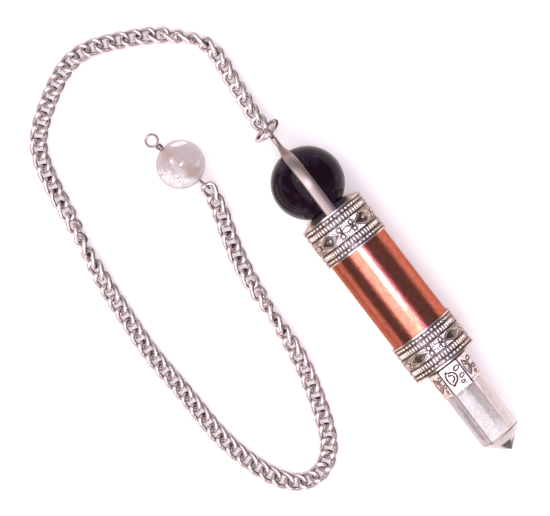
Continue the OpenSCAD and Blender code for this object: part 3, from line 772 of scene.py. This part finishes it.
socket = {
    "across": 9.1, "from": 43.65, "length": 6.1, "wall": 0.25, "roll": 5, "relief": 0.13, "corner": 0.1,
    "columns": 56, "rows": 64, "jagged": 0.1, "jagPitch": 0.62
}
# loops are (across, part of the length, size), and heights are parts of the socket's relief
engraving = {
    "face": 0.54, "leafAt": (-0.75, 0.52), "leaf": 1.2, "innerLeaf": 0.62, "back": -0.55, "bow": 0.3,
    "loops": [(1.25, 0.33, 0.48), (1.3, 0.62, 0.42), (0.85, 0.8, 0.3)], "loopLine": 0.13, "line": 0.8,
    "endLine": 0.9
}


def socketHeight(across, along, length):
    # a rounded leaf with a smaller one inside it, three small loops beside it, and a plain border
    look = engraving
    height = np.full(across.shape, look["face"])

    def ring(value, middle, width):
        return np.exp(-((value - middle) / width) ** 2)

    leafX, leafY = across - look["leafAt"][0], along - length * look["leafAt"][1]
    spread = np.hypot(leafX, np.where(leafX > 0, leafY, leafY * 0.8))
    height -= (0.9 * ring(spread, look["leaf"], 0.16) * (leafX > look["back"])
        + look["line"] * ring(spread, look["innerLeaf"], 0.15) * (leafX > -0.3))
    bowed = look["back"] - look["bow"] * (1 - (leafY / look["leaf"]) ** 2)
    height -= look["line"] * ring(leafX, bowed, look["loopLine"]) * (np.abs(leafY) < look["leaf"])
    for middleX, part, size in look["loops"]:
        away = np.hypot(across - middleX, along - length * part)
        angle = np.arctan2(along - length * part, across - middleX)
        height -= look["line"] * ring(away, size * (1 + 0.25 * np.cos(angle * 2 + 0.6)), look["loopLine"])
    height -= 0.5 * ring(along, length * look["endLine"], 0.06)
    side = np.abs(across).max()
    height -= 0.75 * smooth(side - 0.24, side - 0.1, np.abs(across))
    # the panel's start under the band is lower, and through the relief it is painted dark as the band's shadow
    return height - 0.9 * (1 - smooth(0.45, 0.85, along))


def socketPanel(look):
    # one of the socket's six walls, with its engraved outside, its plain inside and its two rims
    corner, slant = look["across"] / 2, math.radians(30)
    side, face = corner / 2, corner * math.cos(slant)
    columns, rows = look["columns"], look["rows"]
    a, b = np.meshgrid(np.linspace(-side, side, columns + 1), np.linspace(0, look["length"], rows + 1), indexing="ij")
    height = socketHeight(a, b, look["length"])
    fromEdge = side - np.abs(a)
    rounding = look["corner"] * (1 - np.sqrt(np.clip(1 - smooth(0.25, 0, fromEdge) ** 2, 0, 1)))
    jagged = look["jagged"] * (0.5 + 0.5 * np.cos(a * 2 * math.pi / look["jagPitch"]))
    x = look["from"] + b - jagged * smooth(look["length"] - 0.4, look["length"], b)
    radius = face - look["relief"] * 0.6 + look["relief"] * height - rounding * math.cos(slant)
    # the panel's edges lie on the planes where the next panels begin
    reach = 1 - smooth(0.5, 0, fromEdge) * (1 - radius * math.tan(slant) / side)
    outer = np.stack([x, a * reach, radius], -1).reshape(-1, 3)
    inner = np.stack([x, a * (1 - look["wall"] / face), np.full(a.shape, face - look["wall"])], -1).reshape(-1, 3)
    count = len(outer)
    grid = gridFaces(columns + 1, rows + 1)
    faces = grid[:, ::-1].tolist() + (grid + count).tolist()
    for c in range(columns):
        for row in (0, rows):
            here, following = c * (rows + 1) + row, (c + 1) * (rows + 1) + row
            rim = [following, here, here + count, following + count]
            faces.append(rim if row else rim[::-1])
    # the inside walls count as lowest, so they are painted fully dark as the shade inside the socket
    relief = np.concatenate([height.ravel(), np.full(count, -1.0)])
    return makePiece("socketPanel", np.concatenate([outer, inner]), faces, capSilver, relief)


pointSocket = copiesOf("pointSocket", socketPanel(socket), 6, -socket["roll"])
pointSocket.data.set_sharp_from_angle(angle=math.radians(60))
finishPiece(pointSocket, "cap_silver", "point_socket")
print("socket made:", len(pointSocket.data.polygons), "faces")


# the quartz point, the clouds inside it, and sheets inside it of painted shade and light

point = {
    "corner": 4.2036, "base": 43.8, "shoulder": 61.65, "tip": 65.25, "roll": 5, "bevel": 0.09, "topClear": 1.0,
    "shadedSideClear": 0.22, "lowClear": 0.85, "shadedEdgeClear": 0.15, "widestEdge": 4.32
}
onPoint = onBarrel @ Matrix.Rotation(math.radians(point["roll"]), 4, "X")


def makePoint(look):
    ring = arc(look["corner"], 0, math.radians(300), 6)
    points = [(x, y, z) for x in (look["base"], look["shoulder"]) for y, z in ring] + [(look["tip"], 0, 0)]
    faces = [[0, 1, 2, 3, 4, 5]] + [[i, (i + 1) % 6, (i + 1) % 6 + 6, i + 6] for i in range(6)]
    faces += [[i + 6, (i + 1) % 6 + 6, 12] for i in range(6)]
    piece = turnOutward(makePiece("quartzPoint", points, faces, pointQuartz, None, onPoint))
    reshape(piece.data, lambda shape: bmesh.ops.bevel(shape, geom=list(shape.edges), offset=look["bevel"] * mm,
        segments=2, profile=0.6, affect="EDGES", clamp_overlap=True))
    piece.data.shade_smooth()
    piece.data.set_sharp_from_angle(angle=math.radians(12))
    # side faces and the bevels' narrow faces get little clearness, so they take the smoky tint as painted shade; the
    # top faces stay clear
    clear = []
    for face in piece.data.polygons:
        up = face.normal.z
        if face.area > look["widestEdge"] * mm ** 2:
            key = "topClear" if up > 0.8 else "lowClear" if up < -0.3 else "shadedSideClear"
        else:
            key = "shadedEdgeClear" if up > 0 else "shadedSideClear"
        clear.append(look[key])
    store(piece.data, "clearness", clear, "FACE")
    return piece


def cloudSheet(name, finish, along, across, height, fades, bow=0.0, tilt=0.0):
    # a wavy sheet inside the stone; fades are the parts of its length where it fades, at start and end
    rows, columns = 40, 16
    points, fade = [], []
    for r in range(rows + 1):
        for c in range(columns + 1):
            u, v = r / rows, c / columns
            points.append((along[0] + (along[1] - along[0]) * u, across[0] + (across[1] - across[0]) * v,
                height + tilt * (v - 0.5) + bow * math.sin(u * 7 + v * 4)))
            fade.append(float(smooth(0, 0.15, min(v, 1 - v)) * smooth(0, fades[0] + 0.001, u + 0.001)
                * smooth(0, fades[1], 1 - u)))
    sheet = makePiece(name, points, gridFaces(rows + 1, columns + 1), finish, fade, onPoint)
    return finishPiece(sheet, "quartz")


finishPiece(makePoint(point), "quartz", "crystal_point")
cloudSheet("pointVeil", milkyVeil, (50.5, 62.3), (-2.1, 1.1), 2.3, (0.1, 0.15), bow=0.3)
# painted shade under the top face's right half, from the socket on
cloudSheet("pointHazeFront", smokyVeil, (49.3, 61.0), (0.5, 2.4), 2.9, (0.0, 0.3), bow=0.05)
cloudSheet("pointVeilLow", milkyVeil, (51.0, 62.0), (-1.9, 1.9), -1.2, (0.2, 0.2), bow=0.6)
# painted shade just below the socket
cloudSheet("pointHaze", smokyVeil, (49.3, 52.4), (-2.0, 2.0), 2.9, (0.0, 0.8), bow=0.05)
# painted shade along the left side face
cloudSheet("pointHazeLeft", duskVeil, (49.3, 62.0), (-3.4, -2.2), 1.4, (0.0, 0.15), bow=0.05, tilt=1.6)
# painted light along the right side face
cloudSheet("pointHazeRight", milkyVeil, (49.3, 62.0), (2.3, 3.4), 1.4, (0.0, 0.15), bow=0.05, tilt=-1.6)
# a painted dark line of shade and reflection under the front-left edge
cloudSheet("pointEdgeLeft", shadeVeil, (49.5, 62.2), (-2.32, -1.98), 3.25, (0.05, 0.08))
print("quartz point made")


# where the frame's own solids lie

def islands(node):
    # each loose solid of a CAD node as its own array of corners, in millimetres
    shape = bmesh.new()
    shape.from_mesh(node.data)
    bmesh.ops.remove_doubles(shape, verts=shape.verts, dist=1e-7)
    shape.verts.ensure_lookup_table()
    seen, found = set(), []
    for first in shape.verts:
        if first.index in seen:
            continue
        stack, members = [first], []
        seen.add(first.index)
        while stack:
            vertex = stack.pop()
            members.append(tuple(vertex.co / mm))
            for edge in vertex.link_edges:
                other = edge.other_vert(vertex)
                if other.index not in seen:
                    seen.add(other.index)
                    stack.append(other)
        found.append(np.array(members))
    shape.free()
    return found


def restingAxes(corners):
    # middle of a solid and its axes, longest first
    middle = corners.mean(0)
    axes = np.linalg.eigh(np.cov((corners - middle).T))[1][:, ::-1]
    if np.linalg.det(axes) < 0:
        axes[:, 2] *= -1
    return middle, axes


# the curb chain

chain = {
    "halfLength": 1.875, "halfWidth": 1.35, "fullness": 0.7, "twist": 90, "wire": 0.9, "stations": 32, "sides": 12
}


def makeChain(look):
    path, count = [], look["stations"]
    for i in range(count):
        x, y = fullOval(2 * math.pi * i / count, look["halfLength"], look["halfWidth"], look["fullness"])
        a = math.radians(look["twist"]) / 2 * x / look["halfLength"]
        path.append((x * mm, y * math.cos(a) * mm, y * math.sin(a) * mm))
    linkPath = addObject("linkPath", newMesh("linkPath", path, [(i, (i + 1) % count) for i in range(count)]))
    middles, turns = [], []
    for corners in islands(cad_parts["chain"]):
        middle, axes = restingAxes(corners)
        middles.append(tuple(middle * mm))
        turns.append(tuple(Matrix(axes.tolist()).to_euler("XYZ")))
    places = newMesh("curbChain", middles)
    linkTurn = places.attributes.new("linkTurn", "FLOAT_VECTOR", "POINT")
    linkTurn.data.foreach_set("vector", np.array(turns, np.float32).ravel())
    piece = growWith(addObject("curbChain", places), chainLinks, {
        "Link Path": linkPath, "Wire": look["wire"] * mm, "Sides": look["sides"], "Finish": chainSilver})
    bpy.data.objects.remove(linkPath)
    paintWireSideShade(piece)
    return finishPiece(piece, "chain_silver", "chain"), len(middles)


curbChain, linkCount = makeChain(chain)
print("chain made:", linkCount, "links,", len(curbChain.data.polygons), "faces")


# the ring, the eye pin and the bead

def wirePiece(name, path, look, place, finish):
    points = [tuple(place @ Vector(p) * mm) for p in path]
    mesh = newMesh(name, points, [(i, i + 1) for i in range(len(path) - 1)])
    piece = growWith(addObject(name, mesh), wireOnPath, {"Wire": look["wire"] * mm, "Sides": look["sides"],
        "Finish": finish})
    paintWireSideShade(piece)
    piece.data.set_sharp_from_angle(angle=math.radians(50))
    return piece


ring = {"radius": 2.575, "wire": 0.85, "seam": 2.0, "sides": 20, "steps": 72}
ringAxes = restingAxes(np.concatenate(islands(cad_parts["jump_ring"])))[1]
ringMiddle = np.mean(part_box("jump_ring"), axis=0) / mm
onRing = Matrix.Translation(ringMiddle.tolist()) @ Matrix(ringAxes.tolist()).to_4x4()
seam = math.radians(ring["seam"])
ringPath = [(x, y, 0) for x, y in arc(ring["radius"], seam, 2 * math.pi - seam, ring["steps"])]
finishPiece(wirePiece("jumpRing", ringPath, ring, onRing, chainSilver), "chain_silver", "jump_ring")

eyePin = {
    "wire": 0.5, "freeEyeX": -7.45, "freeEye": 1.2, "chainEyeX": 6.3, "chainEye": 1.05, "wrap": 0.44, "wraps": 2,
    "wrapFrom": -5.95, "wrapTo": -5.05, "sides": 14
}


def makeEyePin(look):
    chainEye = arc(-look["chainEye"], math.radians(345), math.radians(5), 44, (look["chainEyeX"], 0))
    path = [(x, 0, -z) for x, z in chainEye]
    path += [(x, 0, 0) for x in np.linspace(look["chainEyeX"] - look["chainEye"] - 0.45, look["wrapFrom"] + 0.1, 30)]
    # the free eye rises as it goes round, so that its end passes its start
    path += [(look["freeEyeX"] + look["freeEye"] * math.cos(a), look["freeEye"] * math.sin(a), 0.1 * a / 6.3)
        for a in np.radians(np.linspace(12, 340, 44))]
    for t in np.linspace(0, 1, 18 * look["wraps"]):
        a = 2 * math.pi * look["wraps"] * t + 0.9
        path.append((look["wrapFrom"] + (look["wrapTo"] - look["wrapFrom"]) * t,
            look["wrap"] * -math.sin(a), look["wrap"] * math.cos(a)))
    return wirePiece("eyePin", path, look, onPin, wireSilver)


finishPiece(makeEyePin(eyePin), "chain_silver", "bead_wire")

bead = {"radius": 4.85, "hole": 0.45, "heart": 4.5, "clearness": 0.9, "steps": 128}


def makeBead(look):
    start = math.asin(look["hole"] / look["radius"])
    profile = arc(look["radius"], start, math.pi - start, 90)
    outside = len(profile)
    profile += [(x, look["hole"]) for x in np.linspace(-look["radius"] + 0.15, look["radius"] - 0.15, 20)]
    piece = lathe("gripBead", profile, beadQuartz, look["steps"], None, onPin, 40)
    inBore = np.repeat(np.arange(len(profile)) >= outside, look["steps"])
    store(piece.data, "frosting", inBore)
    store(piece.data, "clearness", np.full(len(inBore), look["clearness"]))
    return piece


def makeBeadHeart(look):
    start = math.asin((look["hole"] + 0.1) / look["heart"])
    return lathe("beadHeart", arc(look["heart"], start, math.pi - start, 48), beadHeart, 64, None, onPin, None)


finishPiece(makeBead(bead), "bead_quartz", "grip_bead")
finishPiece(makeBeadHeart(bead), "bead_quartz")
print("grip made")


# floor, light and camera

studio = {
    "floorColor": (0.97, 0.9, 0.89, 1), "floorGlow": 0.2, "floorHalf": 3, "floorDrop": 0.00002, "roomLight": 0.24,
    "lightsAimAt": (0, 0.02, 0)
}
# places and sizes in metres, and powers in watts
lamps = {
    "key": {"place": (0.033, 0.065, 0.9), "size": (0.13, 0.26), "power": 2.1, "color": (0.92, 0.96, 1.12)},
    "overhead": {"place": (0.0, 0.07, 0.91), "size": (2.4, 0.28), "power": 2.1, "color": (1.0, 0.96, 1.0)},
    "violet": {"place": (0.05, 0.28, 0.9), "size": (0.4, 0.2), "power": 0.5, "color": (0.8, 0.5, 1.0)},
    "strip": {"place": (0.0, -0.33, 0.82), "size": (2.4, 0.52), "power": 11.0, "color": (1.0, 0.97, 0.96)},
    "spark": {"place": (-0.42, -0.36, 0.85), "size": (0.12, 0.09), "power": 0.3, "color": (1.0, 0.93, 0.95)},
}


def makeFloor():
    half = studio["floorHalf"]
    corners = [(-half, -half, 0), (half, -half, 0), (half, half, 0), (-half, half, 0)]
    mesh = newMesh("floor", corners, [], [(0, 1, 2, 3)])
    material, tree, shader = newMaterial("palePaper")
    feed(tree, shader, {"Base Color": studio["floorColor"], "Roughness": 0.9, "Specular IOR Level": 0.1,
        "Emission Color": studio["floorColor"], "Emission Strength": studio["floorGlow"]})
    mesh.materials.append(material)
    floor = addObject("floor", mesh)
    floor.location.z = -studio["floorDrop"]


def addLamp(name, look):
    lamp = bpy.data.lights.new(name, "AREA")
    lamp.shape, lamp.energy, lamp.color = "RECTANGLE", look["power"], look["color"]
    lamp.size, lamp.size_y = look["size"]
    light = addObject(name, lamp)
    light.location = look["place"]
    x, y, z = (at - to for at, to in zip(look["place"], studio["lightsAimAt"]))
    light.rotation_euler = (-math.atan2(y, z), math.atan2(x, z), 0)


def makeRoom():
    world = bpy.data.worlds.new("studio")
    scene.world = world
    world.use_nodes = True
    tree = world.node_tree
    up = split(tree, addNode(tree, "ShaderNodeTexCoord").outputs["Generated"], "Z")
    tint = blend(tree, ramp(tree, up, 0.0, 0.7), (1.0, 0.97, 0.94, 1), (0.95, 0.9, 1.0, 1))
    feed(tree, tree.nodes["Background"], {"Color": tint, "Strength": studio["roomLight"]})


makeFloor()
makeRoom()
for name, look in lamps.items():
    addLamp(name, look)

view = {"middle": (-0.23, 5.7, 5.0), "turn": 52.48, "frameWidth": 107.25, "lens": 180.0, "sensor": 36.0}
camera = addObject("camera", bpy.data.cameras.new("camera"))
camera.data.lens, camera.data.sensor_width, camera.data.clip_start = view["lens"], view["sensor"], 0.01
distance = view["frameWidth"] * view["lens"] / view["sensor"]
camera.location = (Vector(view["middle"]) + Vector((0, 0, distance))) * mm
camera.rotation_euler = (0, 0, math.radians(view["turn"]))
scene.camera = camera
scene.view_settings.view_transform = "Standard"
print("studio made")
